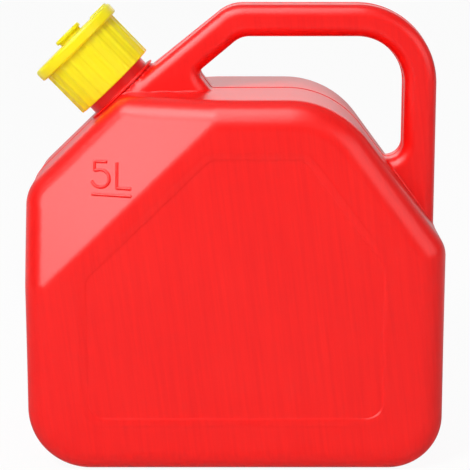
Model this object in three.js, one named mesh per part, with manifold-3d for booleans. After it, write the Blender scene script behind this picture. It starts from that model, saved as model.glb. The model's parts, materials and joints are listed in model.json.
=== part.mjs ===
// A five litre fuel can: one hollow blow-moulded body with a loop handle, closed by a screw
// collar that clamps a closing disc and a pouring spout stowed inside the neck.
// Millimetres, +Z up, +X to the right, the broad front face towards -Y, origin under the middle
// of the base.

import * as THREE from 'three';
import { ConvexGeometry } from 'three/addons/geometries/ConvexGeometry.js';
import { mergeVertices } from 'three/addons/utils/BufferGeometryUtils.js';
import Module from 'manifold-3d';

const wasm = await Module();
wasm.setup();

// Body
const bodyWidth = 240;
const bodyDepth = 136;
const bodyHeight = 215.5; // the flat top that the handle stands on
const wall = 2;
const edgeRadius = 16; // rounding between the broad faces and the sides
const baseCornerLeft = 36;
const baseCornerRight = 31;
const shoulderAngle = THREE.MathUtils.degToRad( 44 );
const shoulderTopX = - 64.5; // where the shoulder runs out into the flat top
const shoulderDepth = 104; // the shoulder is narrower than the broad faces are apart
const facetRun = 33.6; // from the shoulder down to the broad face, along the outline's normal
const slopeAngle = THREE.MathUtils.degToRad( 53.3 );
const slopeTopX = 57.6;
const slopeTopRadius = 54;
const shoulderFootRadius = 22; // where the shoulder turns down into the side
const panelInset = 33; // sunk panel on each broad face, in from the base and from the slope
const panelSideInset = 35;
const panelTopInset = 31;
const panelFacetInset = 24;
const panelDepth = 0.8;
const panelRadius = 10;
const basePocketInset = 34; // in from the broad faces
const basePocketEndInset = 46; // in from the sides, clear of the base's round corners
const basePocketDepth = 2;
const basePocketRadius = 14;

// Handle
const handleHeight = 265;
const handleDepth = 30;
const handleEdge = 7;
const handleSetBack = 2.5; // of the upright leg from the side of the can
const barThickness = 18.5;
const leftLegThickness = 18.6;
const rightLegThickness = 18.8;
const handleBendX = - 3.2;
const handleBendRadius = 22;
const handleCornerRadius = 46.5;
const gripBendRadius = 14;
const gripCornerRadius = 28;
const gripHeelRadius = 4;
const crotchRadius = 9;
const gussetRun = 8;
const gussetRise = 10.5;
const legRootDepth = 50; // the left leg spreads to carry the neck
const legSpreadDrop = 11; // from the bend down to where it starts to spread
const rootSink = 1; // handle stock that runs on under the skin of the body

// Neck, square to the shoulder
const neckDrop = 2; // down the shoulder from its top edge
const neckRadius = 20.75;
const neckHeight = 28.3;
const boreRadius = 18.25;
const bossRadius = 24;
const bossHeight = 1.4;
const bossChamfer = 0.6;
const bossRoot = 14;

// Screw thread
const threadPitch = 5;
const threadHeight = 0.9;
const threadRootWidth = 2.4;
const threadCrestWidth = 1.2;
const threadBite = 0.4; // how far a ridge is rooted in its wall
const threadClearance = 0.3;
const neckThreadStart = 14.2;
const neckThreadTurns = 2.2;
const collarThreadTurns = 0.75;

// Closure stack
const seatGap = 0.3;
const gasketThickness = 1.5;
const spoutFlangeThickness = 2.5;
const spoutFlangeRadius = 20.4;
const spoutLength = 120;
const spoutBaseRadius = 15.5;
const spoutTipRadius = 10;
const spoutWall = 2;
const discRadius = 21;
const discThickness = 2.5;
const knobRadius = 9;
const knobThickness = 2.4;
const knobProud = 4.3; // above the collar's top
const knobStemRadius = 7.7;

// Screw collar
const skirtClear = 6.9; // open neck below the skirt
const skirtRadius = 26.4;
const collarTopThickness = 4.9;
const collarMouthRadius = 17;
const flangeRadius = 29.4;
const flangeThickness = 7;
const flangeRound = 1.4;
const fluteCount = 24;
const fluteDepth = 0.5;
const fluteShare = 0.72; // of the pitch
const fluteFlank = 0.15; // of a flute, each sloping side
const lugLength = 12;
const lugWidth = 9;
const lugHeight = 1;
const lugInset = 1.4; // in from the flange's rim

// Tessellation
const roundSteps = 40;
const threadSteps = 20;
const ballSteps = 16;
const innerBallSteps = 12;
const arcStep = THREE.MathUtils.degToRad( 15 );
const bevelSteps = 3;
const weldDistance = 1e-4;
const overshoot = 1; // how far a cut runs past the face that it opens

// Closed geometry to solid and back

function toSolid( geometry ) {

	const bare = geometry.index === null ? geometry.clone() : geometry.toNonIndexed();
	bare.deleteAttribute( 'normal' );
	bare.deleteAttribute( 'uv' );
	const merged = mergeVertices( bare, weldDistance );
	return new wasm.Manifold( new wasm.Mesh( {
		numProp: 3,
		vertProperties: new Float32Array( merged.attributes.position.array ),
		triVerts: new Uint32Array( merged.index.array )
	} ) );

}

function toMesh( name, solid, material ) {

	const { vertProperties, triVerts } = solid.getMesh();
	const geometry = new THREE.BufferGeometry();
	geometry.setAttribute( 'position', new THREE.BufferAttribute( vertProperties, 3 ) );
	geometry.setIndex( new THREE.BufferAttribute( triVerts, 1 ) );
	geometry.computeVertexNormals();
	const mesh = new THREE.Mesh( geometry, material );
	mesh.name = name;
	return mesh;

}

// Outlines drawn in the XZ plane

function polar( radius, angle ) {

	return new THREE.Vector2( radius * Math.cos( angle ), radius * Math.sin( angle ) );

}

function lineMeet( pointA, directionA, pointB, directionB ) {

	const gap = pointB.clone().sub( pointA );
	const along = gap.cross( directionB ) / directionA.cross( directionB );
	return pointA.clone().addScaledVector( directionA, along );

}

// The arc that rounds a corner between its neighbours: centre, first and swept angle, and radius.
// It takes up at most half of the shorter side beside it.
function cornerArc( before, corner, after, wantedRadius ) {

	const toBefore = before.clone().sub( corner ).normalize();
	const toAfter = after.clone().sub( corner ).normalize();
	const halfAngle = Math.acos( THREE.MathUtils.clamp( toBefore.dot( toAfter ), - 1, 1 ) ) / 2;
	const room = Math.min( before.distanceTo( corner ), after.distanceTo( corner ) ) / 2;
	const radius = Math.min( wantedRadius, room * Math.tan( halfAngle ) );
	const bisector = toBefore.clone().add( toAfter ).normalize();
	const centre = corner.clone().addScaledVector( bisector, radius / Math.sin( halfAngle ) );
	const reach = radius / Math.tan( halfAngle );
	const first = corner.clone().addScaledVector( toBefore, reach ).sub( centre ).angle();
	const last = corner.clone().addScaledVector( toAfter, reach ).sub( centre ).angle();
	const turn = THREE.MathUtils.euclideanModulo( last - first + Math.PI, 2 * Math.PI ) - Math.PI;
	return { centre, first, turn, radius };

}

function arcPoints( arc, radius ) {

	const steps = radius > 0 ? Math.max( 1, Math.ceil( Math.abs( arc.turn ) / arcStep ) ) : 0;
	const points = [];
	for ( let i = 0; i <= steps; i ++ ) {

		const angle = arc.first + arc.turn * ( steps > 0 ? i / steps : 0 );
		points.push( polar( radius, angle ).add( arc.centre ) );

	}

	return points;

}

function cornerArcs( corners ) {

	return corners.map( ( corner, i ) => cornerArc(
		corners.at( i - 1 ).at, corner.at, corners[ ( i + 1 ) % corners.length ].at, corner.radius ) );

}

function roundedOutline( corners ) {

	return cornerArcs( corners ).flatMap( ( arc ) => arcPoints( arc, arc.radius ) );

}

// The same outline moved in by a distance smaller than its corner radii.
function insetOutline( corners, inset ) {

	const arcs = cornerArcs( corners );
	return arcs.flatMap( ( arc ) => arcPoints( arc, Math.max( 0, arc.radius - inset ) ) );

}

// A plate lying in the XZ plane, its thickness centred on y = 0.
function plate( shape, thickness ) {

	const geometry = new THREE.ExtrudeGeometry( shape, { depth: thickness, bevelEnabled: false } );
	return geometry.translate( 0, 0, - thickness / 2 ).rotateX( Math.PI / 2 );

}

// The same with rounded edges. The shape's own line is the widest section, less the skin.
function roundedPlate( shape, thickness, edge, skin ) {

	const straight = thickness - 2 * edge;
	const geometry = new THREE.ExtrudeGeometry( shape, {
		depth: straight,
		bevelThickness: edge - skin,
		bevelSize: edge - skin,
		bevelOffset: - edge,
		bevelSegments: bevelSteps
	} );
	return geometry.translate( 0, 0, - straight / 2 ).rotateX( Math.PI / 2 );

}

// The skin stretched over equal balls
function ballHull( centres, radius, steps ) {

	const points = [];
	for ( const centre of centres ) {

		for ( let row = 0; row <= steps / 2; row ++ ) {

			const tilt = - Math.PI / 2 + 2 * Math.PI * row / steps;
			const columns = row === 0 || row === steps / 2 ? 1 : steps;
			for ( let column = 0; column < columns; column ++ ) {

				const angle = 2 * Math.PI * column / steps;
				points.push( new THREE.Vector3(
					Math.cos( tilt ) * Math.cos( angle ),
					Math.sin( tilt ),
					Math.cos( tilt ) * Math.sin( angle )
				).multiplyScalar( radius ).add( centre ) );

			}

		}

	}

	return new ConvexGeometry( points );

}

function turned( profile ) {

	const points = profile.map( ( [ radius, height ] ) => new THREE.Vector2( radius, height ) );
	return new THREE.LatheGeometry( points, roundSteps ).rotateX( Math.PI / 2 );

}

// A ring of square section about the axis
function ring( innerRadius, outerRadius, bottom, top ) {

	return turned( [
		[ innerRadius, bottom ],
		[ outerRadius, bottom ],
		[ outerRadius, top ],
		[ innerRadius, top ],
		[ innerRadius, bottom ]
	] );

}

function rod( radius, bottom, top ) {

	return turned( [ [ 0, bottom ], [ radius, bottom ], [ radius, top ], [ 0, top ] ] );

}

// A right-handed ridge wound about the axis. Its root and crest are radii, in either order.
function threadRidge( rootRadius, crestRadius, start, turns ) {

	const section = [
		[ rootRadius, - threadRootWidth / 2 ],
		[ crestRadius, - threadCrestWidth / 2 ],
		[ crestRadius, threadCrestWidth / 2 ],
		[ rootRadius, threadRootWidth / 2 ]
	];
	if ( crestRadius < rootRadius ) section.reverse();
	const sides = section.length;
	const steps = Math.round( turns * threadSteps );
	const positions = [];
	const indices = [];
	for ( let i = 0; i <= steps; i ++ ) {

		const turn = i / threadSteps;
		for ( const [ radius, height ] of section ) {

			const { x, y } = polar( radius, 2 * Math.PI * turn );
			positions.push( x, y, start + height + threadPitch * turn );

		}

	}

	for ( let i = 0; i < steps; i ++ ) {

		for ( let k = 0; k < sides; k ++ ) {

			const a = sides * i + k;
			const b = sides * i + ( k + 1 ) % sides;
			indices.push( a, b, b + sides, a, b + sides, a + sides );

		}

	}

	const end = sides * steps;
	indices.push( 0, 2, 1, 0, 3, 2, end, end + 1, end + 2, end, end + 2, end + 3 );
	const geometry = new THREE.BufferGeometry();
	geometry.setAttribute( 'position', new THREE.Float32BufferAttribute( positions, 3 ) );
	geometry.setIndex( indices );
	return geometry;

}

// Where things lie

const halfWidth = bodyWidth / 2;
const shoulderWay = new THREE.Vector2( Math.cos( shoulderAngle ), Math.sin( shoulderAngle ) );
const slopeWay = new THREE.Vector2( Math.cos( slopeAngle ), - Math.sin( slopeAngle ) );
const acrossWay = new THREE.Vector2( 1, 0 );
const upWay = new THREE.Vector2( 0, 1 );
const inward = ( way ) => new THREE.Vector2( way.y, - way.x ); // to the right of a way along the outline
const shoulderTop = new THREE.Vector2( shoulderTopX, bodyHeight );
const slopeTop = new THREE.Vector2( slopeTopX, bodyHeight );
const slopeFoot = lineMeet( slopeTop, slopeWay, new THREE.Vector2( halfWidth, 0 ), upWay );
const neckFoot = shoulderTop.clone().addScaledVector( shoulderWay, - neckDrop );
const handleBend = new THREE.Vector2( handleBendX, handleHeight );
const legWay = handleBend.clone().sub( neckFoot ).normalize();

const neckFrame = new THREE.Matrix4().makeRotationY( - shoulderAngle );
neckFrame.setPosition( neckFoot.x, 0, neckFoot.y );

const rimGasketBottom = neckHeight + seatGap;
const spoutTop = rimGasketBottom + gasketThickness + seatGap + spoutFlangeThickness;
const discGasketBottom = spoutTop + seatGap;
const discBottom = discGasketBottom + gasketThickness + seatGap;
const discTop = discBottom + discThickness;
const collarSeat = discTop + seatGap;
const collarTop = collarSeat + collarTopThickness;
const collarBore = neckRadius + threadHeight + threadClearance;

// Outline of the can, its shoulder moved in by a distance for the edge of the broad faces.
function bodyCorners( shoulderShift ) {

	const top = shoulderTop.clone().addScaledVector( acrossWay, shoulderShift / Math.sin( shoulderAngle ) );
	const side = lineMeet( top, shoulderWay, new THREE.Vector2( - halfWidth, 0 ), upWay );
	return [
		{ at: new THREE.Vector2( - halfWidth, 0 ), radius: baseCornerLeft },
		{ at: new THREE.Vector2( halfWidth, 0 ), radius: baseCornerRight },
		{ at: slopeFoot, radius: edgeRadius },
		{ at: slopeTop, radius: slopeTopRadius },
		{ at: top, radius: edgeRadius },
		{ at: side, radius: shoulderFootRadius }
	];

}

function bodyBalls() {

	const faceY = bodyDepth / 2 - edgeRadius;
	const shoulderY = shoulderDepth / 2 - edgeRadius;
	const face = insetOutline( bodyCorners( facetRun ), edgeRadius );
	const shoulderArcs = cornerArcs( bodyCorners( 0 ) ).slice( - 2 );
	const shoulder = shoulderArcs.flatMap( ( arc ) => arcPoints( arc, Math.max( 0, arc.radius - edgeRadius ) ) );
	return [ - 1, 1 ].flatMap( ( side ) => [
		...face.map( ( p ) => new THREE.Vector3( p.x, side * faceY, p.y ) ),
		...shoulder.map( ( p ) => new THREE.Vector3( p.x, side * shoulderY, p.y ) )
	] );

}

// Sunk panel: the broad face's outline moved in side by side, with tighter corners.
function panelShape() {

	const corners = bodyCorners( facetRun );
	const insets = [ panelInset, panelSideInset, panelInset, panelTopInset, panelFacetInset, panelSideInset ];
	const edges = corners.map( ( corner, i ) => {

		const next = corners[ ( i + 1 ) % corners.length ].at;
		const way = next.clone().sub( corner.at ).normalize();
		return { at: corner.at.clone().addScaledVector( inward( way ), - insets[ i ] ), way };

	} );
	return new THREE.Shape( roundedOutline( edges.map( ( edge, i ) => ( {
		at: lineMeet( edges.at( i - 1 ).at, edges.at( i - 1 ).way, edge.at, edge.way ),
		radius: panelRadius
	} ) ) ) );

}

function basePocket( grow, height ) {

	const halfX = halfWidth - basePocketEndInset + grow;
	const halfY = bodyDepth / 2 - basePocketInset + grow;
	const radius = basePocketRadius + grow;
	const quarters = [ [ - 1, - 1 ], [ 1, - 1 ], [ 1, 1 ], [ - 1, 1 ] ];
	const corners = quarters.map( ( [ x, y ] ) => ( {
		at: new THREE.Vector2( x * halfX, y * halfY ),
		radius
	} ) );
	return new THREE.ExtrudeGeometry( new THREE.Shape( roundedOutline( corners ) ), {
		depth: height + overshoot,
		bevelEnabled: false
	} ).translate( 0, 0, - overshoot );

}

// Handle: a plate through the mid-plane with the grip hole in it, its lower edge inside the can.
function handleShape() {

	const legRight = halfWidth - handleSetBack;
	const buried = new THREE.Vector2( shoulderTopX / 2, bodyHeight - 2 * edgeRadius );
	const outer = roundedOutline( [
		{ at: neckFoot, radius: 0 },
		{ at: buried, radius: 0 },
		{ at: new THREE.Vector2( legRight, slopeFoot.y - edgeRadius ), radius: 0 },
		{ at: new THREE.Vector2( legRight, handleHeight ), radius: handleCornerRadius },
		{ at: handleBend, radius: handleBendRadius }
	] );

	const gripTop = new THREE.Vector2( 0, handleHeight - barThickness );
	const gripRight = new THREE.Vector2( legRight - rightLegThickness, 0 );
	const legSide = handleBend.clone().addScaledVector( inward( legWay ), leftLegThickness );
	const gussetShare = Math.min( 1, ( gripTop.y - bodyHeight ) / 2 / gussetRise );
	const heelLevel = new THREE.Vector2( 0, bodyHeight + gussetShare * gussetRise );
	const heel = lineMeet( legSide, legWay, heelLevel, acrossWay );
	const floor = new THREE.Vector2( 0, bodyHeight - rootSink );
	const slopeSunk = slopeTop.clone().addScaledVector( inward( slopeWay ), rootSink );
	const gussetWay = new THREE.Vector2( gussetRun, - gussetRise );
	const grip = roundedOutline( [
		{ at: heel, radius: gripHeelRadius },
		{ at: lineMeet( heel, gussetWay, floor, acrossWay ), radius: 0 },
		{ at: lineMeet( slopeSunk, slopeWay, floor, acrossWay ), radius: slopeTopRadius },
		{ at: lineMeet( slopeSunk, slopeWay, gripRight, upWay ), radius: crotchRadius },
		{ at: new THREE.Vector2( gripRight.x, gripTop.y ), radius: gripCornerRadius },
		{ at: lineMeet( legSide, legWay, gripTop, acrossWay ), radius: gripBendRadius }
	] );

	const shape = new THREE.Shape( outer );
	shape.holes.push( new THREE.Path( grip ) );
	return shape;

}

// Left leg, spreading from the bar's depth to the neck.
function legBalls() {

	const ends = [
		{ at: handleBend.clone().addScaledVector( legWay, - legSpreadDrop ), depth: handleDepth },
		{ at: neckFoot, depth: legRootDepth }
	];
	const balls = [];
	for ( const { at, depth } of ends ) {

		for ( const inset of [ handleEdge, leftLegThickness - handleEdge ] ) {

			const p = at.clone().addScaledVector( inward( legWay ), inset );
			const y = depth / 2 - handleEdge;
			balls.push( new THREE.Vector3( p.x, - y, p.y ), new THREE.Vector3( p.x, y, p.y ) );

		}

	}

	return balls;

}

function neckStock() {

	return turned( [
		[ 0, - bossRoot ],
		[ bossRadius, - bossRoot ],
		[ bossRadius, bossHeight - bossChamfer ],
		[ bossRadius - bossChamfer, bossHeight ],
		[ neckRadius, bossHeight ],
		[ neckRadius, neckHeight ],
		[ 0, neckHeight ]
	] );

}

function canBody() {

	const inNeckFrame = ( geometry ) => toSolid( geometry.applyMatrix4( neckFrame ) );
	const threadCrest = neckRadius + threadHeight;
	const thread = threadRidge( neckRadius - threadBite, threadCrest, neckThreadStart, neckThreadTurns );
	const panel = plate( panelShape(), 2 * panelDepth );
	const frontPanel = toSolid( panel.clone().translate( 0, - bodyDepth / 2, 0 ) );
	const backPanel = toSolid( panel.clone().translate( 0, bodyDepth / 2, 0 ) );

	const outside = toSolid( ballHull( bodyBalls(), edgeRadius, ballSteps ) )
		.subtract( frontPanel )
		.subtract( backPanel )
		.subtract( toSolid( basePocket( 0, basePocketDepth ) ) )
		.add( toSolid( roundedPlate( handleShape(), handleDepth, handleEdge, 0 ) ) )
		.add( toSolid( ballHull( legBalls(), handleEdge, ballSteps ) ) )
		.add( inNeckFrame( neckStock() ) )
		.add( inNeckFrame( thread ) );

	const inside = toSolid( ballHull( bodyBalls(), edgeRadius - wall, innerBallSteps ) )
		.subtract( toSolid( basePocket( wall, basePocketDepth + wall ) ) )
		.add( toSolid( roundedPlate( handleShape(), handleDepth, handleEdge, wall ) ) )
		.add( toSolid( ballHull( legBalls(), handleEdge - wall, innerBallSteps ) ) )
		.add( inNeckFrame( rod( boreRadius, - bossRoot, neckHeight + overshoot ) ) );

	return outside.subtract( inside );

}

// Closure pieces, in the neck's own frame: the axis is +Z and zero is the shoulder.

function pourSpout() {

	const tip = spoutTop - spoutLength;
	const root = spoutTop - spoutFlangeThickness;
	return turned( [
		[ spoutTipRadius - spoutWall, tip ],
		[ spoutTipRadius, tip ],
		[ spoutBaseRadius, root ],
		[ spoutFlangeRadius, root ],
		[ spoutFlangeRadius, spoutTop ],
		[ spoutBaseRadius - spoutWall, spoutTop ],
		[ spoutTipRadius - spoutWall, tip ]
	] );

}

function closingDisc() {

	const knobTop = collarTop + knobProud;
	const knobBottom = knobTop - knobThickness;
	return turned( [
		[ 0, discBottom ],
		[ discRadius, discBottom ],
		[ discRadius, discTop ],
		[ knobStemRadius, discTop ],
		[ knobStemRadius, knobBottom ],
		[ knobRadius, knobBottom ],
		[ knobRadius, knobTop ],
		[ 0, knobTop ]
	] );

}

// Skirt with shallow flutes between narrow ribs
function flutedSkirt() {

	const points = [];
	for ( let i = 0; i < fluteCount; i ++ ) {

		const pitch = 2 * Math.PI / fluteCount;
		for ( const [ share, radius ] of [
			[ 0, skirtRadius ],
			[ 1 - fluteShare, skirtRadius ],
			[ 1 - fluteShare * ( 1 - fluteFlank ), skirtRadius - fluteDepth ],
			[ 1 - fluteShare * fluteFlank, skirtRadius - fluteDepth ]
		] ) {

			points.push( polar( radius, ( i + share ) * pitch ) );

		}

	}

	return new THREE.ExtrudeGeometry( new THREE.Shape( points ), {
		depth: collarTop - flangeThickness / 2 - skirtClear,
		bevelEnabled: false
	} ).translate( 0, 0, skirtClear );

}

function screwCollar() {

	const flangeBottom = collarTop - flangeThickness;
	const flange = turned( [
		[ 0, flangeBottom ],
		[ flangeRadius - flangeRound, flangeBottom ],
		[ flangeRadius, flangeBottom + flangeRound ],
		[ flangeRadius, collarTop - flangeRound ],
		[ flangeRadius - flangeRound, collarTop ],
		[ 0, collarTop ]
	] );
	const lug = new THREE.BoxGeometry( lugLength, lugWidth, 2 * lugHeight )
		.translate( flangeRadius - lugInset - lugLength / 2, 0, collarTop );
	const ridgeStart = neckThreadStart + threadPitch / 2;
	const ridgeCrest = collarBore - threadHeight;
	const ridge = threadRidge( collarBore + threadBite, ridgeCrest, ridgeStart, collarThreadTurns );
	return toSolid( flutedSkirt() )
		.add( toSolid( flange ) )
		.add( toSolid( lug ) )
		.subtract( toSolid( rod( collarBore, skirtClear - overshoot, collarSeat ) ) )
		.subtract( toSolid( rod( collarMouthRadius, collarSeat - overshoot, collarTop + overshoot ) ) )
		.add( toSolid( ridge ) );

}

// Materials and assembly

const redPlastic = new THREE.MeshStandardMaterial( { color: 0xe8150f, roughness: 0.35, metalness: 0 } );
const yellowPlastic = new THREE.MeshStandardMaterial( { color: 0xf7df12, roughness: 0.4, metalness: 0 } );
const sealRubber = new THREE.MeshStandardMaterial( { color: 0x1c1c1c, roughness: 0.8, metalness: 0 } );

const rimGasketTop = rimGasketBottom + gasketThickness;
const discGasketTop = discGasketBottom + gasketThickness;
const rimGasket = ring( boreRadius, neckRadius - seatGap, rimGasketBottom, rimGasketTop );
const discGasket = ring( spoutBaseRadius, spoutFlangeRadius, discGasketBottom, discGasketTop );

const closure = new THREE.Group();
closure.applyMatrix4( neckFrame );
closure.add(
	toMesh( 'rim_gasket', toSolid( rimGasket ), sealRubber ),
	toMesh( 'pour_spout', toSolid( pourSpout() ), yellowPlastic ),
	toMesh( 'disc_gasket', toSolid( discGasket ), sealRubber ),
	toMesh( 'closing_disc', toSolid( closingDisc() ), yellowPlastic ),
	toMesh( 'screw_collar', screwCollar(), yellowPlastic )
);

const fuelCan = new THREE.Group();
fuelCan.add( toMesh( 'can_body', canBody(), redPlastic ), closure );

export default fuelCan;
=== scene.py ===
import json
import math

import bmesh
import bpy
import numpy as np
import openvdb
from mathutils import Matrix, Vector


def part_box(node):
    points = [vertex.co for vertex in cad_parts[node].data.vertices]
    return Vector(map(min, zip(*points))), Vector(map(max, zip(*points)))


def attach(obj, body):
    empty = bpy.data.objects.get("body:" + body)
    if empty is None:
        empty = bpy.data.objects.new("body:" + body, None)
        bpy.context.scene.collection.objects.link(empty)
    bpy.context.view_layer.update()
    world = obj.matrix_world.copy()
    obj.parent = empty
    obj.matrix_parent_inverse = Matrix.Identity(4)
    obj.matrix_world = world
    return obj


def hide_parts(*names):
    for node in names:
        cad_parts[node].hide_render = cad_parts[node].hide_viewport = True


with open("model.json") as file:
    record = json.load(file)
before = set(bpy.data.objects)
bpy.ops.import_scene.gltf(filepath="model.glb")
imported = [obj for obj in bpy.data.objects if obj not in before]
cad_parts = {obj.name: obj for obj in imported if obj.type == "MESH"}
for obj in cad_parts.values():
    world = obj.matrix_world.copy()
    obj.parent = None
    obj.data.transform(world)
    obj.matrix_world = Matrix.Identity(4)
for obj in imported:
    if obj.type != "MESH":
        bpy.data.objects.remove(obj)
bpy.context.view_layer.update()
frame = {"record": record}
mm = 0.001                                        # shapes are worked out in millimetres

# Places taken from the frame

joints = {joint["name"]: joint for joint in frame["record"]["behaviour"]["joints"]}
neckFoot = np.array(joints["collar_turn"]["pos_m"]) / mm
neckAxis = np.array(joints["collar_turn"]["axis"])
neckAcross = np.array([neckAxis[2], 0.0, -neckAxis[0]])  # up the shoulder, in the mid-plane
neckSide = np.array([0.0, 1.0, 0.0])
canHigh = np.array(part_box("can_body")[1]) / mm
halfWidth, halfDepth, handleTop = canHigh
print("frame read, can %.0f x %.0f x %.0f mm" % (2 * halfWidth, 2 * halfDepth, handleTop))


# Plane outlines

def unit(vector):
    return np.asarray(vector, float) / np.linalg.norm(vector)


def lineMeet(pointA, wayA, pointB, wayB):
    gap = np.subtract(pointB, pointA)
    along = (gap[0] * wayB[1] - gap[1] * wayB[0]) / (wayA[0] * wayB[1] - wayA[1] * wayB[0])
    return np.add(pointA, along * np.asarray(wayA, float))


class Outline:
    # a closed line of straight runs and corner arcs; corners go anticlockwise as (x, z, radius)

    def __init__(self, corners):
        spots = [np.array(corner[:2], float) for corner in corners]
        self.arcs = []
        ends = []
        for i, corner in enumerate(corners):
            spot, radius = spots[i], corner[2]
            before, after = spots[i - 1], spots[(i + 1) % len(spots)]
            toBefore, toAfter = unit(before - spot), unit(after - spot)
            half = math.acos(np.clip(toBefore @ toAfter, -1, 1)) / 2
            middle = -unit(toBefore + toAfter)
            turn = toAfter[0] * toBefore[1] - toAfter[1] * toBefore[0]
            centre = spot - middle * radius / math.sin(half)
            self.arcs.append((centre, radius, middle, math.pi / 2 - half, 1 if turn > 0 else -1))
            reach = radius / math.tan(half)
            ends.append((spot + toBefore * reach, spot + toAfter * reach))
        self.lines = [(ends[i][1], ends[(i + 1) % len(ends)][0]) for i in range(len(ends))]

    def distance(self, x, z):                     # signed, negative inside, with its slope
        best = np.full(np.shape(x), 1e9)
        slopeX = np.zeros(np.shape(x))
        slopeZ = np.zeros(np.shape(x))
        for start, end in self.lines:
            length = np.linalg.norm(end - start)
            way = (end - start) / max(length, 1e-9)
            dx, dz = x - start[0], z - start[1]
            along = dx * way[0] + dz * way[1]
            off = dx * way[1] - dz * way[0]
            take = (along >= 0) & (along <= length) & (np.abs(off) < np.abs(best))
            best = np.where(take, off, best)
            slopeX = np.where(take, way[1], slopeX)
            slopeZ = np.where(take, -way[0], slopeZ)
        for centre, radius, middle, sweep, bulge in self.arcs:
            dx, dz = x - centre[0], z - centre[1]
            far = np.maximum(np.hypot(dx, dz), 1e-9)
            off = bulge * (far - radius)
            facing = (dx * middle[0] + dz * middle[1]) / far
            take = (facing >= math.cos(sweep) - 1e-6) & (np.abs(off) < np.abs(best))
            best = np.where(take, off, best)
            slopeX = np.where(take, bulge * dx / far, slopeX)
            slopeZ = np.where(take, bulge * dz / far, slopeZ)
        return best, slopeX, slopeZ

    def points(self, arcStep=0.2, lineStep=1e9):  # in order, arcs by angle and runs by length
        spots = []
        for i, (centre, radius, middle, sweep, bulge) in enumerate(self.arcs):
            facing = math.atan2(middle[1], middle[0])
            steps = max(1, math.ceil(2 * sweep / arcStep)) if radius > 0 else 0
            for k in range(steps + 1):
                angle = facing + bulge * sweep * (2 * k / steps - 1 if steps else 0)
                spots.append(centre + radius * np.array([math.cos(angle), math.sin(angle)]))
            start, end = self.lines[i]
            runs = max(1, math.ceil(np.linalg.norm(end - start) / lineStep))
            spots += [start + (end - start) * k / runs for k in range(1, runs)]
        return np.array(spots)


# Can body: one field of signed distance, skinned as a mesh

can = {
    "edge": 16, "baseLeft": 36, "baseRight": 31,  # roundings of the broad faces and of the base
    "top": 215.5,                                 # flat top that the handle stands on
    "shoulderTopX": -64.5, "shoulderHalf": 52,    # the shoulder is narrower than the body
    "shoulderFoot": 22,                           # rounding where the shoulder turns into the side
    "facetRun": 33.6,                             # from the shoulder down to the broad face
    "slopeTopX": 57.6, "slopeAngle": 53.3, "slopeCorner": 54,
    "panelInsets": (33, 35, 33, 31, 24, 35),      # from base, side, slope, top, facet and side
    "panelCorner": 10, "panelSink": 0.6, "panelSoft": 2.2,
    "pocketInset": 34, "pocketEndInset": 46, "pocketCorner": 14, "pocketSink": 2, "pocketSoft": 2.5,
    "wave": 0.06, "waveFade": 24,                 # how far the blown walls wander, and not at the base
    "cell": 1.6,                                  # grid that the skin is made on
}
handle = {
    "half": 15, "edge": 7,                        # half depth and rounding of the loop
    "setBack": 2.5, "bar": 18.5, "leftLeg": 18.6, "rightLeg": 18.8,
    "bendX": -3.2, "bendCorner": 22, "corner": 46.5,
    "gripBend": 14, "gripCorner": 28, "heelCorner": 4, "crotch": 9,
    "gussetRun": 8, "gussetRise": 10.5,
    "rootHalf": 25, "spreadDrop": 11,             # the sloping leg spreads towards the neck
    "sink": 9,                                    # loop that runs on under the body's skin
    "rootBlend": 0.4, "slopeBlend": 1.2, "sideBlend": 0.15,
    "rootFrom": -20, "rootFade": 30,              # where the blend changes towards the neck
    "sideFrom": 16, "sideFade": 12,               # and towards the side
}
boss = {"radius": 23.4, "top": 0.1, "root": -14, "blend": 1.2}

shoulderWay = neckAcross[[0, 2]]
shoulderIn = np.array([shoulderWay[1], -shoulderWay[0]])
slopeTurn = math.radians(can["slopeAngle"])
slopeWay = np.array([math.cos(slopeTurn), -math.sin(slopeTurn)])
across, up = np.array([1.0, 0.0]), np.array([0.0, 1.0])
shoulderTop = np.array([can["shoulderTopX"], can["top"]])
slopeTop = np.array([can["slopeTopX"], can["top"]])
slopeFoot = lineMeet(slopeTop, slopeWay, (halfWidth, 0), up)


def bodyCorners(shift):                           # the shoulder moved in by a shift
    top = shoulderTop + across * shift / shoulderWay[1]
    side = lineMeet(top, shoulderWay, (-halfWidth, 0), up)
    return [
        (-halfWidth, 0, can["baseLeft"]), (halfWidth, 0, can["baseRight"]),
        (*slopeFoot, can["edge"]), (*slopeTop, can["slopeCorner"]),
        (*top, can["edge"]), (*side, can["shoulderFoot"])]


def movedIn(corners, insets, radius):             # straight sides moved in, one radius for all
    spots = [np.array(corner[:2]) for corner in corners]
    ways = [unit(spots[(i + 1) % len(spots)] - spots[i]) for i in range(len(spots))]
    starts = [spots[i] + insets[i] * np.array([-ways[i][1], ways[i][0]]) for i in range(len(spots))]
    meets = [lineMeet(starts[i - 1], ways[i - 1], starts[i], ways[i]) for i in range(len(spots))]
    return [(*spot, radius) for spot in meets]


facetLean = math.atan((halfDepth - can["shoulderHalf"]) / can["facetRun"])
bodyOutline = Outline(bodyCorners(0))
panelOutline = Outline(movedIn(bodyCorners(can["facetRun"]), can["panelInsets"], can["panelCorner"]))
pocketX = halfWidth - can["pocketEndInset"]
pocketY = halfDepth - can["pocketInset"]
pocketOutline = Outline([(sx * pocketX, sy * pocketY, can["pocketCorner"])
                         for sx, sy in ((-1, -1), (1, -1), (1, 1), (-1, 1))])

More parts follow.
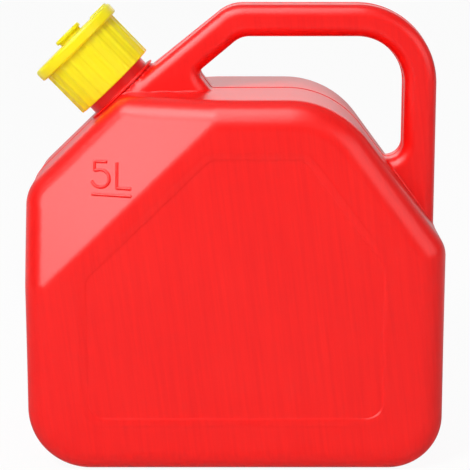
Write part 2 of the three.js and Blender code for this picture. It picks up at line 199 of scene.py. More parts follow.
handleBend = np.array([handle["bendX"], handleTop])
legWay = unit(handleBend - neckFoot[[0, 2]])
legIn = np.array([legWay[1], -legWay[0]])
legLength = np.linalg.norm(handleBend - neckFoot[[0, 2]])
legRight = halfWidth - handle["setBack"]
loopOutline = Outline([
    (*neckFoot[[0, 2]], 0), (can["shoulderTopX"] / 2, can["top"] - 2 * can["edge"], 0),
    (legRight, slopeFoot[1] - can["edge"], 0), (legRight, handleTop, handle["corner"]),
    (*handleBend, handle["bendCorner"])])
legSide = handleBend + legIn * handle["leftLeg"]
gripHigh = np.array([0, handleTop - handle["bar"]])
gripRight = np.array([legRight - handle["rightLeg"], 0])
gripHeel = lineMeet(legSide, legWay, (0, can["top"] + handle["gussetRise"]), across)
gussetWay = np.array([handle["gussetRun"], -handle["gussetRise"]])
gripFloor = np.array([0, can["top"] - handle["sink"]])
crotchAt = lineMeet(slopeTop, slopeWay, gripRight, up)
slopeInside = slopeTop - handle["sink"] * np.array([math.sin(slopeTurn), 0])
floorEnd = lineMeet(gripFloor, across, slopeInside, slopeWay)
gripOutline = Outline([
    (*gripHeel, handle["heelCorner"]), (*lineMeet(gripHeel, gussetWay, gripFloor, across), 0),
    (*floorEnd, 0), (*crotchAt, handle["crotch"]),
    (gripRight[0], gripHigh[1], handle["gripCorner"]),
    (*lineMeet(legSide, legWay, gripHigh, across), handle["gripBend"])])


def wedge(a, b, turn):                            # beyond two planes whose normals meet at a cosine
    both = (a - b * turn > 0) & (b - a * turn > 0)
    square = (a * a + b * b - 2 * a * b * turn) / (1 - turn * turn)
    return np.where(both, np.sqrt(np.maximum(square, 0)), np.maximum(a, b))


def merge(a, b, reach):                           # union with a soft inner corner
    share = np.maximum(reach - np.abs(a - b), 0) / reach
    return np.minimum(a, b) - share * share * reach / 4


def ease(value):                                  # 0 to 1 without a kink
    t = np.clip(value, 0, 1)
    return t * t * (3 - 2 * t)


def wander(x, y, z):                              # slow waves of a blown wall, lengths in millimetres
    broad = np.sin(x / 31 + 0.7) * np.sin(z / 37 + 0.4)
    slanting = np.sin(x / 17 - z / 23 + y / 29)
    sideways = np.sin(y / 15 + z / 19 + 1.1)
    return broad + 0.6 * slanting + 0.5 * sideways


def shellField(x, y, z):
    side = np.abs(y)
    edge = can["edge"]
    out, slopeX, slopeZ = bodyOutline.distance(x, z)
    out = out + edge
    below = (x - shoulderTop[0]) * shoulderIn[0] + (z - shoulderTop[1]) * shoulderIn[1] - edge
    face = side - halfDepth + edge
    facet = (side - can["shoulderHalf"] + edge) * math.cos(facetLean) - below * math.sin(facetLean)
    outTurn = -math.sin(facetLean) * (slopeX * shoulderIn[0] + slopeZ * shoulderIn[1])
    outFacet = wedge(out, facet, np.clip(outTurn, -0.95, 0.95))  # held off parallel
    shell = np.maximum(wedge(out, face, 0), outFacet)
    shell = np.maximum(shell, wedge(face, facet, math.cos(facetLean)))
    square = np.maximum(math.sin(facetLean) ** 2 - outTurn ** 2, 1e-3)  # where all three meet
    past = (facet - outTurn * out - math.cos(facetLean) * face) / square
    meet = (past > 0) & (out > outTurn * past) & (face > math.cos(facetLean) * past)
    apex = np.sqrt(out * out + face * face + past * past * square)
    shell = np.where(meet, np.maximum(shell, apex), shell) - edge

    panel = panelOutline.distance(x, z)[0]
    onFace = ease((face + edge / 2) / edge)
    shell = shell + can["panelSink"] * ease(0.5 - panel / 2 / can["panelSoft"]) * onFace
    shell = shell + can["wave"] * wander(x, y, z) * ease(z / can["waveFade"])
    pocket = np.maximum(pocketOutline.distance(x, y)[0], z - can["pocketSink"])
    return -merge(-shell, pocket, can["pocketSoft"])


def loopField(x, y, z):
    inset = np.maximum(loopOutline.distance(x, z)[0], -gripOutline.distance(x, z)[0]) + handle["edge"]
    drop = (handleBend[0] - x) * legWay[0] + (handleBend[1] - z) * legWay[1]
    spread = np.clip((drop - handle["spreadDrop"]) / (legLength - handle["spreadDrop"]), 0, 1.1)
    half = handle["half"] + (handle["rootHalf"] - handle["half"]) * spread
    past = np.abs(y) - half + handle["edge"]
    corner = np.hypot(np.maximum(inset, 0), np.maximum(past, 0))
    return corner + np.minimum(np.maximum(inset, past), 0) - handle["edge"]


def neckCoordinates(x, y, z):
    dx, dz = x - neckFoot[0], z - neckFoot[2]
    height = dx * neckAxis[0] + dz * neckAxis[2]
    return np.hypot(dx * neckAcross[0] + dz * neckAcross[2], y), height


def canField(x, y, z):
    nearNeck = ease((handle["rootFrom"] - x) / handle["rootFade"])
    nearSide = ease((x - halfWidth + handle["sideFrom"]) / handle["sideFade"])
    reach = handle["slopeBlend"] + (handle["rootBlend"] - handle["slopeBlend"]) * nearNeck
    reach = reach + (handle["sideBlend"] - reach) * nearSide
    field = merge(shellField(x, y, z), loopField(x, y, z), reach)
    around, height = neckCoordinates(x, y, z)
    ringed = np.maximum(around - boss["radius"], height - boss["top"])
    ringed = np.maximum(ringed, boss["root"] - height)
    return merge(field, ringed, boss["blend"])


def fieldSlope(points, step=0.02):
    slope = np.empty_like(points)
    for axis in range(3):
        shift = np.zeros(3)
        shift[axis] = step
        slope[:, axis] = canField(*(points + shift).T) - canField(*(points - shift).T)
    return slope / (2 * step)


def ontoSkin(points, rounds=5, leastSlope=0.05, longest=1):  # Newton steps to the zero surface
    for _ in range(rounds):
        slope = fieldSlope(points)
        size = np.maximum((slope * slope).sum(1), leastSlope)
        step = canField(*points.T) / size
        points = points - np.clip(step, -longest, longest)[:, None] * slope
    return points


def unitSlope(points):
    slope = fieldSlope(points)
    return slope / np.linalg.norm(slope, axis=1)[:, None]


def newPiece(name, points, faces, body, stands=(), normals=None, crease=None):
    mesh = bpy.data.meshes.new(name)
    mesh.from_pydata((np.asarray(points) * mm).tolist(), [], faces)
    mesh.validate()
    build = bmesh.new()
    build.from_mesh(mesh)
    if normals is None:
        bmesh.ops.recalc_face_normals(build, faces=build.faces)
    build.to_mesh(mesh)
    build.free()
    mesh.polygons.foreach_set("use_smooth", [True] * len(mesh.polygons))
    if crease is not None:
        mesh.set_sharp_from_angle(angle=math.radians(crease))
    if normals is not None:
        mesh.normals_split_custom_set_from_vertices(normals.tolist())
    piece = bpy.data.objects.new(name, mesh)
    bpy.context.scene.collection.objects.link(piece)
    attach(piece, body)
    if stands:
        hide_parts(*stands)
    return piece


def makeCan():
    cell = can["cell"]
    margin = 3 * cell
    low = np.array([-halfWidth, -halfDepth, 0]) - margin
    counts = np.ceil((canHigh + margin - low) / cell).astype(int) + 1
    x, y, z = (low[i] + cell * np.arange(counts[i]) for i in range(3))
    field = np.empty(tuple(counts), np.float32)
    sliceY, sliceZ = y[:, None] + 0 * z, z + 0 * y[:, None]
    for i, place in enumerate(x):                 # one slice at a time keeps the memory small
        field[i] = canField(np.full(sliceY.shape, place), sliceY, sliceZ)
    grid = openvdb.FloatGrid(margin)
    grid.copyFromArray(field)
    points, quads = grid.convertToQuads()
    points = ontoSkin(np.asarray(points, float) * cell + low)
    normals = unitSlope(points)
    return newPiece("can_shell", points, quads.tolist(), "can", ["can_body"], normals)


canShell = makeCan()
print("can skinned, %d faces" % len(canShell.data.polygons))


# Turned pieces, in the neck's own frame: radius and height above the shoulder

def inNeck(local):
    local = np.asarray(local, float)
    return neckFoot + local[:, :1] * neckAcross + local[:, 1:2] * neckSide + local[:, 2:] * neckAxis


def revolve(profile, count, radiusAt=None):       # closed profile; radiusAt bends the radius by angle
    points, faces, rows = [], [], []
    angles = 2 * math.pi * np.arange(count) / count
    for radius, height in profile:
        rows.append(len(points))
        if radius < 1e-6:
            points.append((0, 0, height))
            continue
        around = radius + (radiusAt(radius, height, angles) if radiusAt else 0 * angles)
        points += list(zip(around * np.cos(angles), around * np.sin(angles), 0 * angles + height))
    sizes = [1 if radius < 1e-6 else count for radius, height in profile]
    for i in range(len(profile)):
        k = (i + 1) % len(profile)
        if sizes[i] == 1 and sizes[k] == 1:
            continue
        for j in range(count):
            n = (j + 1) % count
            a, b = rows[i] + j % sizes[i], rows[i] + n % sizes[i]
            c, d = rows[k] + n % sizes[k], rows[k] + j % sizes[k]
            faces.append(list(dict.fromkeys((a, b, c, d))))
    return points, faces


def threadRidge(root, crest, start, turns):       # a wound ridge that fades in and out at its ends
    steps = round(turns * thread["steps"])
    section = [(-1, 0), (-0.55, 0.9), (-0.3, 1), (0.3, 1), (0.55, 0.9), (1, 0)]
    points, faces = [], []
    for i in range(steps + 1):
        turn = i / thread["steps"]
        fade = float(ease(min(i, steps - i) / thread["fade"]))
        for wide, tall in section:
            radius = root + (crest - root) * tall * fade
            angle = 2 * math.pi * turn
            height = start + thread["pitch"] * turn + wide * thread["width"] / 2
            points.append((radius * math.cos(angle), radius * math.sin(angle), height))
    size = len(section)
    for i in range(steps):
        for k in range(size):
            a, b = i * size + k, i * size + (k + 1) % size
            faces.append([a, b, b + size, a + size])
    faces += [list(range(size)), [steps * size + k for k in range(size)]]
    return points, faces


def joined(*meshes):
    points, faces = [], []
    for somePoints, someFaces in meshes:
        faces += [[i + len(points) for i in face] for face in someFaces]
        points += list(somePoints)
    return points, faces


def sectionPoints(corners, **steps):
    return [tuple(spot) for spot in Outline(corners).points(**steps)]


thread = {
    "pitch": 5, "width": 2.6, "height": 0.9, "bite": 0.4, "clear": 0.3,
    "steps": 72, "fade": 16,                      # steps a turn, and steps over which an end fades
}
neck = {
    "radius": 20.75, "bore": 18.25, "rim": 28.3, "root": -12,
    "ring": 24.2, "ringTop": 1.4, "ringLow": 0.35, "ringEdge": 0.45, "ringInner": 0.5,
    "groove": 22.6, "grooveEdge": 0.1,            # shadow line under the ring
    "threadStart": 14.2, "threadTurns": 2.2, "columns": 192, "crease": 35,
}
stack = {                                         # heights of the pieces on the neck's rim
    "rimSeal": (28.6, 30.1), "spoutFlange": (30.4, 32.9), "discSeal": (33.2, 34.7),
    "disc": (35.0, 37.5), "seat": 37.8, "collarTop": 42.7,
}


def makeNeck():
    wall = neck["radius"] - neck["bore"]
    profile = sectionPoints([
        (neck["bore"], neck["root"], 0), (neck["groove"], neck["root"], 0),
        (neck["groove"], neck["ringLow"], neck["grooveEdge"]),
        (neck["ring"], neck["ringLow"], neck["ringEdge"]),
        (neck["ring"], neck["ringTop"], neck["ringEdge"]),
        (neck["radius"], neck["ringTop"], neck["ringInner"]),
        (neck["radius"], neck["rim"], wall / 4), (neck["bore"], neck["rim"], wall / 4)])
    ridge = threadRidge(neck["radius"] - thread["bite"], neck["radius"] + thread["height"],
                        neck["threadStart"], neck["threadTurns"])
    points, faces = joined(revolve(profile, neck["columns"]), ridge)
    return newPiece("threaded_neck", inNeck(points), faces, "can", crease=neck["crease"])


canNeck = makeNeck()

collar = {
    "skirt": 26.4, "bottom": 6.9, "flange": 29.4, "flangeThick": 7, "mouth": 17,
    "boreEdge": 0.4, "bottomEdge": 0.6, "underEdge": 0.35, "rimEdge": 1.4, "rimTop": 2.0,
    "mouthEdge": 0.7, "mouthFoot": 0.3, "seatCorner": 0.5, "runStep": 4,
    "flutes": 24, "fluteSamples": 14, "ribShare": 0.24, "flank": 0.16,
    "fluteDepth": (0.4, 0.65),                    # at the skirt's lower edge and under the flange
    "lug": (12, 9, 1.0), "lugInset": 1.4, "lugEdge": 0.9, "lugSteps": 4,
    "threadTurns": 0.75, "crease": 40,
}


def makeCollar():
    bore = neck["radius"] + thread["height"] + thread["clear"]
    top, bottom = stack["collarTop"], collar["bottom"]
    under = top - collar["flangeThick"]
    profile = sectionPoints([
        (bore, bottom, collar["boreEdge"]), (collar["skirt"], bottom, collar["bottomEdge"]),
        (collar["skirt"], under, collar["underEdge"]), (collar["flange"], under, collar["rimEdge"]),
        (collar["flange"], top, collar["rimTop"]), (collar["mouth"], top, collar["mouthEdge"]),
        (collar["mouth"], stack["seat"], collar["mouthFoot"]),
        (bore, stack["seat"], collar["seatCorner"])], lineStep=collar["runStep"])

    def flute(radius, height, angles):            # only the outside of the skirt is fluted
        if radius < (bore + collar["skirt"]) / 2 or height > under:
            return 0 * angles
        phase = (angles * collar["flutes"] / (2 * math.pi)) % 1
        rib, flank = collar["ribShare"], collar["flank"]
        cut = ease((phase - rib) / flank) * ease((1 - phase) / flank)
        lowDepth, highDepth = collar["fluteDepth"]
        depth = lowDepth + (highDepth - lowDepth) * (height - bottom) / (under - bottom)
        overhang = collar["flange"] - collar["skirt"]
        return -depth * cut * min(1, (collar["flange"] - radius) / overhang)

    ring = revolve(profile, collar["flutes"] * collar["fluteSamples"], flute)
    ridge = threadRidge(bore + thread["bite"], bore - thread["height"],
                        neck["threadStart"] + thread["pitch"] / 2, collar["threadTurns"])
    points, faces = joined(ring, ridge, lugBlock())
    return newPiece("ribbed_collar", inNeck(points), faces, "collar",
                    ["screw_collar"], crease=collar["crease"])


def lugBlock():
    length, width, height = collar["lug"]
    build = bmesh.new()
    bmesh.ops.create_cube(build, size=1, matrix=Matrix.Diagonal((length, width, 2 * height, 1)))
    bmesh.ops.bevel(build, geom=build.edges[:], offset=collar["lugEdge"],
                    segments=collar["lugSteps"], profile=0.5, affect="EDGES")
    middle = Vector((collar["flange"] - collar["lugInset"] - length / 2, 0, stack["collarTop"]))
    build.verts.index_update()
    points = [tuple(vert.co + middle) for vert in build.verts]
    faces = [[vert.index for vert in face.verts] for face in build.faces]
    build.free()
    return points, faces


screwCollar = makeCollar()

disc = {
    "radius": 21, "edge": 0.5, "stem": 7.7, "foot": 0.8, "stemTop": 0.2,
    "knob": 9, "proud": 4.3, "knobThick": 2.4, "knobEdge": 0.9,
    "dimple": 6, "dimpleEdge": 0.6, "dimpleWall": 0.8, "dimpleFoot": 0.4, "dimpleSink": 0.35,
    "columns": 160, "crease": 40,
}


def makeDisc():
    low, high = stack["disc"]
    top = stack["collarTop"] + disc["proud"]
    under = top - disc["knobThick"]
    profile = sectionPoints([
        (0, low, 0), (disc["radius"], low, disc["edge"]), (disc["radius"], high, disc["edge"]),
        (disc["stem"], high, disc["foot"]), (disc["stem"], under, disc["stemTop"]),
        (disc["knob"], under, disc["knobEdge"] / 2), (disc["knob"], top, disc["knobEdge"]),
        (disc["dimple"], top, disc["dimpleEdge"]),
        (disc["dimple"] - disc["dimpleWall"], top - disc["dimpleSink"], disc["dimpleFoot"]),
        (0, top - disc["dimpleSink"], 0)])
    points, faces = revolve(profile, disc["columns"])
    return newPiece("knob_disc", inNeck(points), faces, "closing_disc",
                    ["closing_disc"], crease=disc["crease"])


knobDisc = makeDisc()

spout = {
    "length": 120, "base": 15.5, "tip": 10, "wall": 2, "flange": 20.4, "flangeEdge": 0.5,
    "flangeFoot": 1.5, "mouthEdge": 1.0, "lip": 0.7, "columns": 128, "crease": 40,
}


def makeSpout():
    low, high = stack["spoutFlange"]
    tipHeight = high - spout["length"]
    profile = sectionPoints([
        (spout["tip"] - spout["wall"], tipHeight, spout["lip"]), (spout["tip"], tipHeight, spout["lip"]),
        (spout["base"], low, spout["flangeFoot"]), (spout["flange"], low, spout["flangeEdge"]),
        (spout["flange"], high, spout["flangeEdge"]),
        (spout["base"] - spout["wall"], high, spout["mouthEdge"])])
    points, faces = revolve(profile, spout["columns"])
    return newPiece("stowed_spout", inNeck(points), faces, "can",
                    ["pour_spout"], crease=spout["crease"])


pourSpout = makeSpout()

seals = {
    "rim": {
        "inner": 18.25, "outer": 20.45, "heights": "rimSeal", "body": "can", "node": "rim_gasket"},
    "disc": {
        "inner": 15.5, "outer": 20.4, "heights": "discSeal", "body": "closing_disc",
        "node": "disc_gasket"},
    "edge": 0.3, "columns": 128, "crease": 50,
}


def makeSeal(name):
    seal = seals[name]
    low, high = stack[seal["heights"]]
    profile = sectionPoints([
        (seal["inner"], low, seals["edge"]), (seal["outer"], low, seals["edge"]),
        (seal["outer"], high, seals["edge"]), (seal["inner"], high, seals["edge"])])
    points, faces = revolve(profile, seals["columns"])
    return newPiece(name + "_seal", inNeck(points), faces, seal["body"],
                    [seal["node"]], crease=seals["crease"])


rimSeal = makeSeal("rim")
discSeal = makeSeal("disc")
print("neck, collar, disc, spout and seals turned")


# Parting seam, panel lips and capacity mark: beads laid on the skin

def roundSection(width, height):                  # a low dome with its feet under the skin
    shares = [(-1, -0.35), (-0.8, 0.45), (-0.4, 0.9), (0, 1), (0.4, 0.9), (0.8, 0.45), (1, -0.35)]
    return [(wide * width / 2, tall * height) for wide, tall in shares]


def bead(path, normals, section, closed=False, tallness=None):
    points, faces = [], []                        # section points are across and above the skin
    count, size = len(path), len(section)
    for i in range(count):
        before = path[i - 1] if closed or i else path[i]
        after = path[(i + 1) % count] if closed or i < count - 1 else path[i]
        sideways = unit(np.cross(normals[i], after - before))
        share = 1 if tallness is None else tallness[i]
        for wide, tall in section:
            points.append(path[i] + sideways * wide + normals[i] * tall * share)
    for i in range(count if closed else count - 1):
        n = (i + 1) % count
        for k in range(size):
            m = (k + 1) % size
            faces.append([i * size + k, i * size + m, n * size + m, n * size + k])
    if not closed:
        faces += [list(range(size)), [(count - 1) * size + k for k in range(size)]]
    return points, faces


seam = {
    "width": 0.9, "height": 0.32, "step": 1.5, "arcStep": 0.06,
    "moved": 1.0, "near": 0.05,                   # points that slid away or missed the skin are left out
    "neckGap": 1, "neckDrop": -2, "baseGap": 1.5, "leastRun": 3, "crease": 60,
}


def makeSeam():
    section = roundSection(seam["width"], seam["height"])
    beads = []
    for outline in (bodyOutline, loopOutline, gripOutline):
        flat = outline.points(arcStep=seam["arcStep"], lineStep=seam["step"])
        points = np.stack([flat[:, 0], 0 * flat[:, 0], flat[:, 1]], 1)
        skin = ontoSkin(points)
        skin[:, 1] = 0
        around, height = neckCoordinates(*skin.T)
        kept = np.linalg.norm(skin - points, axis=1) < seam["moved"]
        kept &= np.abs(canField(*skin.T)) < seam["near"]
        kept &= (around > neck["ring"] + seam["neckGap"]) | (height < seam["neckDrop"])
        kept &= skin[:, 2] > can["pocketSink"] + seam["baseGap"]  # trimmed flat under the base
        first = int(np.argmin(kept))
        order = (np.arange(len(kept)) + first) % len(kept)
        run = []
        for i in list(order) + [None]:
            if i is not None and kept[i]:
                run.append(i)
                continue
            if len(run) > seam["leastRun"]:
                beads.append(bead(skin[run], unitSlope(skin[run]), section))
            run = []
    points, faces = joined(*beads)
    return newPiece("parting_seam", points, faces, "can", crease=seam["crease"])


partingSeam = makeSeam()

ledge = {                                         # lip round the sunk panel: a long rise and a short drop
    "rise": 3.4, "drop": 1.6, "height": 0.21, "step": 2.0, "arcStep": 0.1, "crease": 60,
    "sideGain": 1.35, "sideReach": 18,            # it grows towards the side below the handle
}


def makeLedge():
    flat = panelOutline.points(arcStep=ledge["arcStep"], lineStep=ledge["step"])
    rise, drop, height = ledge["rise"], ledge["drop"], ledge["height"]
    section = [
        (-rise, -0.3 * height), (-0.6 * rise, 0.35 * height), (-0.25 * rise, 0.85 * height),
        (0, height),
        (0.25 * drop, 0.8 * height), (0.7 * drop, 0.15 * height), (drop, -0.4 * height)]
    fromSide = flat[:, 0].max() - flat[:, 0]
    tallness = 1 + ledge["sideGain"] * ease(1 - fromSide / ledge["sideReach"])
    beads = []
    for side in (-1, 1):
        skin = np.stack([flat[:, 0], 0 * flat[:, 0] + side * halfDepth, flat[:, 1]], 1)
        skin = ontoSkin(skin)
        inward = [(-side * wide, tall) for wide, tall in section]
        beads.append(bead(skin, unitSlope(skin), inward, True, tallness))
    points, faces = joined(*beads)
    return newPiece("panel_ledge", points, faces, "can", crease=ledge["crease"])


panelLedge = makeLedge()

mark = {                                          # plain capacity mark, drawn in single strokes
    "at": (-68.6, 174.2), "stroke": 2.0, "height": 1.0, "step": 0.5, "tall": 14.6,
    "five": {
        "left": -13.2, "width": 10.9, "bowlShare": 0.34, "squash": 1.1, "sweep": (112, -160),
        "steps": 26, "stemIn": 1.75, "stemRise": 1.91, "flagIn": 1.8, "flagShort": 1.7},
    "ell": {"left": 2.2, "width": 8.6},
    "line": {"left": -12.8, "width": 23.6, "drop": 4.2},
    "startIn": 8, "startRounds": 12,              # where the search for the facet starts
    "crease": 60,
}


def arcStroke(centre, radius, sweep, steps, squash):
    spots = []
    for angle in np.radians(np.linspace(*sweep, steps)):
        x = centre[0] + radius * squash * math.cos(angle)
        spots.append((x, centre[1] + radius * math.sin(angle)))
    return spots


def markStrokes():
    tall = mark["tall"]
    five, ell, line = mark["five"], mark["ell"], mark["line"]
    low, high = -tall / 2, tall / 2
    bowl = tall * five["bowlShare"]
    right = five["left"] + five["width"]
    bowlAt = (right - bowl * five["squash"], low + bowl)
    flag = [(right - five["flagShort"], high), (five["left"] + five["flagIn"], high)]
    stem = [(five["left"] + five["stemIn"], low + bowl * five["stemRise"])]
    under = low - line["drop"]
    return [
        flag + stem + arcStroke(bowlAt, bowl, five["sweep"], five["steps"], five["squash"]),
        [(ell["left"], high), (ell["left"], low), (ell["left"] + ell["width"], low)],
        [(line["left"], under), (line["left"] + line["width"], under)],
    ]


def evenly(stroke, step):
    spots = np.array(stroke, float)
    runs = np.linalg.norm(np.diff(spots, axis=0), axis=1)
    along = np.concatenate([[0], np.cumsum(runs)])
    wanted = np.linspace(0, along[-1], max(2, int(along[-1] / step)))
    return np.stack([np.interp(wanted, along, spots[:, i]) for i in range(2)], 1)


def makeMark():
    outward = math.sin(facetLean)
    facetNormal = np.array([
        -shoulderIn[0] * outward, -math.cos(facetLean), -shoulderIn[1] * outward])
    level = unit(np.cross(facetNormal, (0, 0, -1)))
    level = level * np.sign(level[0])
    rise = unit(np.cross(facetNormal, (1, 0, 0)))  # upright as seen square to the broad face
    x, z = mark["at"]
    start = np.array([[x, -halfDepth + mark["startIn"], z]])
    middle = ontoSkin(start, mark["startRounds"])[0]
    section = roundSection(mark["stroke"], mark["height"])
    beads = []
    for stroke in markStrokes():
        flat = evenly(stroke, mark["step"])
        skin = ontoSkin(middle + flat[:, :1] * level + flat[:, 1:] * rise)
        beads.append(bead(skin, unitSlope(skin), section))
    points, faces = joined(*beads)
    return newPiece("capacity_mark", points, faces, "can", crease=mark["crease"])


capacityMark = makeMark()
print("seam, panel lips and capacity mark laid on")


# Finishes

class Value:
    # one output socket; arithmetic on it adds Math nodes

    def __init__(self, finish, socket):
        self.finish, self.socket = finish, socket

    def maths(self, operation, first, second):
        return self.finish.node("ShaderNodeMath", {"operation": operation}, {0: first, 1: second})

    def __add__(self, other):
        return self.maths("ADD", self, other)

    def __radd__(self, other):
        return self.maths("ADD", other, self)

    def __sub__(self, other):
        return self.maths("SUBTRACT", self, other)

    def __rsub__(self, other):
        return self.maths("SUBTRACT", other, self)

    def __mul__(self, other):
        return self.maths("MULTIPLY", self, other)

    def __rmul__(self, other):
        return self.maths("MULTIPLY", other, self)


class Finish:
    def __init__(self, tree):
        self.tree = tree
        tree.nodes.clear()

    def node(self, kind, settings=None, sockets=None, output=0):
        made = self.tree.nodes.new(kind)
        for key, value in (settings or {}).items():
            setattr(made, key, value)
        for key, value in (sockets or {}).items():
            if isinstance(value, Value):
                self.tree.links.new(value.socket, made.inputs[key])
            else:
                made.inputs[key].default_value = value
        return Value(self, made.outputs[output]) if len(made.outputs) else None

    def noise(self, where, scale, detail=3, rough=0.5, stretch=(1, 1, 1)):
        spread = self.node("ShaderNodeVectorMath", {"operation": "MULTIPLY"}, {0: where, 1: stretch})
        return self.node("ShaderNodeTexNoise", {"noise_dimensions": "3D"}, {
            "Vector": spread, "Scale": scale, "Detail": detail, "Roughness": rough})

    def mixColour(self, share, first, second):
        return self.node("ShaderNodeMix", {"data_type": "RGBA"}, {0: share, 6: first, 7: second}, 2)

    def bump(self, height, strength, distance, normal=None):
        sockets = {"Height": height, "Strength": strength, "Distance": distance}
        if normal is not None:
            sockets["Normal"] = normal
        return self.node("ShaderNodeBump", {}, sockets)

    def fade(self, place, ends, first, last):
        return self.node("ShaderNodeMapRange", {"interpolation_type": "SMOOTHSTEP"}, {
            0: place, 1: ends[0], 2: ends[1], 3: first, 4: last})


def newFinish(name):
    material = bpy.data.materials.new(name)
    material.use_nodes = True
    finish = Finish(material.node_tree)
    where = finish.node("ShaderNodeTexCoord", {}, {}, 3)
    return material, finish, where


def close(finish, shader):
    finish.node("ShaderNodeOutputMaterial", {}, {"Surface": shader})


redLook = {
    "deep": (0.85, 0.001, 0.001, 1), "bright": (0.95, 0.006, 0.003, 1),
    "cloudScale": 14, "cloudShare": 0.5, "flowShare": 1.5, "shareShift": 0.5,  # deep to bright
    "rough": 0.32, "roughSpread": 0.10, "roughFlow": 0.6, "specular": 0.5,
    "flowScale": 480, "flowStretch": (1, 1, 0.04), "flowLean": 7, "flowHeight": 0.0001,
    "grainScale": 1500, "grainHeight": 0.00002, "bump": 0.5,
}


def redPlastic():
    look = redLook
    material, finish, where = newFinish("blown_red_plastic")
    cloud = finish.noise(where, look["cloudScale"], 2)
    leaning = finish.node("ShaderNodeMapping", {}, {
        "Vector": where, "Rotation": (0, math.radians(look["flowLean"]), 0)})
    flow = finish.noise(leaning, look["flowScale"], 3, 0.55, look["flowStretch"])
    grain = finish.noise(where, look["grainScale"], 2)
    share = cloud * look["cloudShare"] + flow * look["flowShare"] - look["shareShift"]
    colour = finish.mixColour(share, look["deep"], look["bright"])
    uneven = flow * look["roughFlow"] + grain * (1 - look["roughFlow"]) - 0.5
    rough = look["rough"] + look["roughSpread"] * uneven
    wavy = finish.bump(flow, look["bump"], look["flowHeight"])
    fine = finish.bump(grain, look["bump"], look["grainHeight"], wavy)
    shader = finish.node("ShaderNodeBsdfPrincipled", {}, {
        "Base Color": colour, "Roughness": rough,
        "Specular IOR Level": look["specular"], "Normal": fine})
    close(finish, shader)
    return material


yellowLook = {
    "deep": (0.96, 0.69, 0.004, 1), "bright": (0.98, 0.84, 0.006, 1),
    "cloudScale": 40, "cloudShare": 0.9, "shareStart": 0.35,  # deep to bright
    "rough": 0.33, "roughSpread": 0.10, "specular": 0.4,
    "glow": 0.6, "glowReach": (0.006, 0.0052, 0.0005),  # light that passes into the thin plastic
    "grainScale": 1100, "grainHeight": 0.00003, "bump": 0.5,
}


def yellowPlastic():
    look = yellowLook
    material, finish, where = newFinish("moulded_yellow_plastic")
    cloud = finish.noise(where, look["cloudScale"], 3)
    grain = finish.noise(where, look["grainScale"], 2)
    share = look["shareStart"] + cloud * look["cloudShare"]
    colour = finish.mixColour(share, look["deep"], look["bright"])
    rough = look["rough"] + look["roughSpread"] * (cloud + grain - 1)
    shader = finish.node("ShaderNodeBsdfPrincipled", {}, {
        "Base Color": colour, "Roughness": rough, "Specular IOR Level": look["specular"],
        "Subsurface Weight": look["glow"], "Subsurface Radius": look["glowReach"],
        "Subsurface Scale": 1.0, "Normal": finish.bump(grain, look["bump"], look["grainHeight"])})
    close(finish, shader)
    return material


rubberLook = {
    "deep": (0.012, 0.012, 0.013, 1), "dusty": (0.045, 0.043, 0.040, 1),
    "cloudScale": 90, "rough": 0.72, "roughSpread": 0.16,
    "grainScale": 1800, "grainHeight": 0.00005, "bump": 0.6,
}


def sealRubber():
    look = rubberLook
    material, finish, where = newFinish("seal_rubber")
    cloud = finish.noise(where, look["cloudScale"], 4)
    grain = finish.noise(where, look["grainScale"], 2)
    shader = finish.node("ShaderNodeBsdfPrincipled", {}, {
        "Base Color": finish.mixColour(cloud, look["deep"], look["dusty"]),
        "Roughness": look["rough"] + look["roughSpread"] * (cloud - 0.5),
        "Normal": finish.bump(grain, look["bump"], look["grainHeight"])})
    close(finish, shader)
    return material


red, yellow, rubber = redPlastic(), yellowPlastic(), sealRubber()
for piece in (canShell, canNeck, partingSeam, panelLedge, capacityMark):
    piece.data.materials.append(red)
for piece in (screwCollar, knobDisc, pourSpout):
    piece.data.materials.append(yellow)
for piece in (rimSeal, discSeal):
    piece.data.materials.append(rubber)
print("finishes given")


# Studio: pale floor, white surround, soft lamps and the camera

studio = {
    "floorSize": 12, "floorColour": (0.9, 0.9, 0.9, 1), "floorGlow": 0.94,
    "floorFront": 0.15, "floorBehind": 0.65, "floorFade": (-0.1, 0.5),  # as it mirrors, by depth
    "speckScale": 300, "speckStrength": 0.1, "speckHeight": 0.0002,
    "ambient": 0.37,                              # surround as it lights
    "glossFront": 0.07, "glossBehind": 0.45, "glossFade": (0.1, 0.8),   # and as it mirrors
    "cameraAt": (0, -1.05, 0.354), "aimAt": (0, 0, 0.1268), "lens": 137.5,
    "lamps": {                                    # what lights the plastic
        "key_front_left": {
            "at": (-0.60, -1.10, 1.08), "aim": (0, 0, 0.12), "size": (0.4, 0.4), "power": 15.2},
        "fill_front_right": {
            "at": (0.95, -1.0, 0.5), "aim": (0, 0, 0.12), "size": (0.5, 0.5), "power": 2.1},
        "top": {
            "at": (0.1, 0.5, 1.4), "aim": (0, 0, 0.15), "size": (0.6, 0.4), "power": 1.4},
    },
    "panels": {                                   # what mirrors in its gloss
        "panel_left": {
            "at": (-0.80, -0.88, 0.64), "aim": (-0.085, -0.055, 0.17), "size": (0.42, 0.5), "power": 5.4},
        "panel_over": {
            "at": (-0.16, -0.60, 1.25), "aim": (-0.02, -0.06, 0.2), "size": (0.6, 1.25), "power": 15},
        "panel_high_left": {
            "at": (-0.68, -0.42, 1.21), "aim": (-0.06, -0.05, 0.2), "size": (0.7, 0.7), "power": 13},
        "panel_right": {
            "at": (1.09, -0.71, 0.63), "aim": (0.08, -0.06, 0.17), "size": (1.1, 0.7), "power": 3.8},
        "panel_back": {
            "at": (0, 1.6, 0.62), "aim": (0, 0, 0.2), "size": (2.2, 0.5), "power": 3.8},
    },
}


def seenBy(finish, *kinds):                       # 1 for rays of these kinds
    seen = [finish.node("ShaderNodeLightPath", {}, {}, "Is %s Ray" % kind) for kind in kinds]
    return finish.node("ShaderNodeClamp", {}, {0: sum(seen[1:], seen[0])})


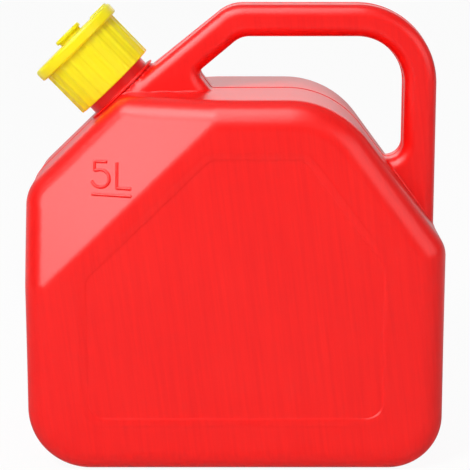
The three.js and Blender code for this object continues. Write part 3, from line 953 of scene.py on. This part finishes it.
def aimed(place, aim):
    way = Vector(aim) - Vector(place)
    return Matrix.Translation(place) @ way.to_track_quat("-Z", "Y").to_matrix().to_4x4()


def makeStudio():
    half = studio["floorSize"] / 2
    mesh = bpy.data.meshes.new("floor")
    corners = [(-half, -half, 0), (half, -half, 0), (half, half, 0), (-half, half, 0)]
    mesh.from_pydata(corners, [], [(0, 1, 2, 3)])
    floor = bpy.data.objects.new("floor", mesh)
    bpy.context.scene.collection.objects.link(floor)
    material, finish, where = newFinish("pale_floor")
    speck = finish.noise(where, studio["speckScale"], 2)
    plain = finish.node("ShaderNodeBsdfDiffuse", {}, {
        "Color": studio["floorColour"],
        "Normal": finish.bump(speck, studio["speckStrength"], studio["speckHeight"])})
    seen = seenBy(finish, "Camera")
    mirrored = seenBy(finish, "Glossy", "Transmission")
    depth = finish.node("ShaderNodeSeparateXYZ", {}, {0: where}, 1)
    behind = finish.fade(depth, studio["floorFade"], studio["floorFront"], studio["floorBehind"])
    tone = finish.mixColour(seen + mirrored * behind, (0, 0, 0, 1), (1, 1, 1, 1))
    glow = finish.node("ShaderNodeEmission", {}, {"Color": tone})
    share = (seen + mirrored) * studio["floorGlow"]
    close(finish, finish.node("ShaderNodeMixShader", {}, {0: share, 1: plain, 2: glow}))
    mesh.materials.append(material)

    world = bpy.data.worlds.new("white_surround")
    world.use_nodes = True
    bpy.context.scene.world = world
    finish = Finish(world.node_tree)
    around = finish.node("ShaderNodeTexCoord", {}, {}, 0)
    way = finish.node("ShaderNodeSeparateXYZ", {}, {0: around}, 1)
    behind = finish.fade(way, studio["glossFade"], studio["glossFront"], studio["glossBehind"])
    camera = seenBy(finish, "Camera")
    mirrored = seenBy(finish, "Glossy", "Transmission")
    level = camera + mirrored * behind + (1 - camera - mirrored) * studio["ambient"]
    backdrop = finish.node("ShaderNodeBackground", {}, {"Color": (1, 1, 1, 1), "Strength": level})
    finish.node("ShaderNodeOutputWorld", {}, {"Surface": backdrop})

    for name, lamp in {**studio["lamps"], **studio["panels"]}.items():
        light = bpy.data.lights.new(name, "AREA")
        light.shape = "RECTANGLE"
        light.size, light.size_y = lamp["size"]
        light.energy = lamp["power"]
        holder = bpy.data.objects.new(name, light)
        holder.matrix_world = aimed(lamp["at"], lamp["aim"])
        holder.visible_camera = False
        holder.visible_diffuse = name in studio["lamps"]
        holder.visible_glossy = name in studio["panels"]
        bpy.context.scene.collection.objects.link(holder)

    camera = bpy.data.objects.new("camera", bpy.data.cameras.new("camera"))
    camera.data.lens = studio["lens"]
    camera.matrix_world = aimed(studio["cameraAt"], studio["aimAt"])
    bpy.context.scene.collection.objects.link(camera)
    bpy.context.scene.camera = camera
    bpy.context.scene.view_settings.view_transform = "Standard"


makeStudio()
print("studio set")
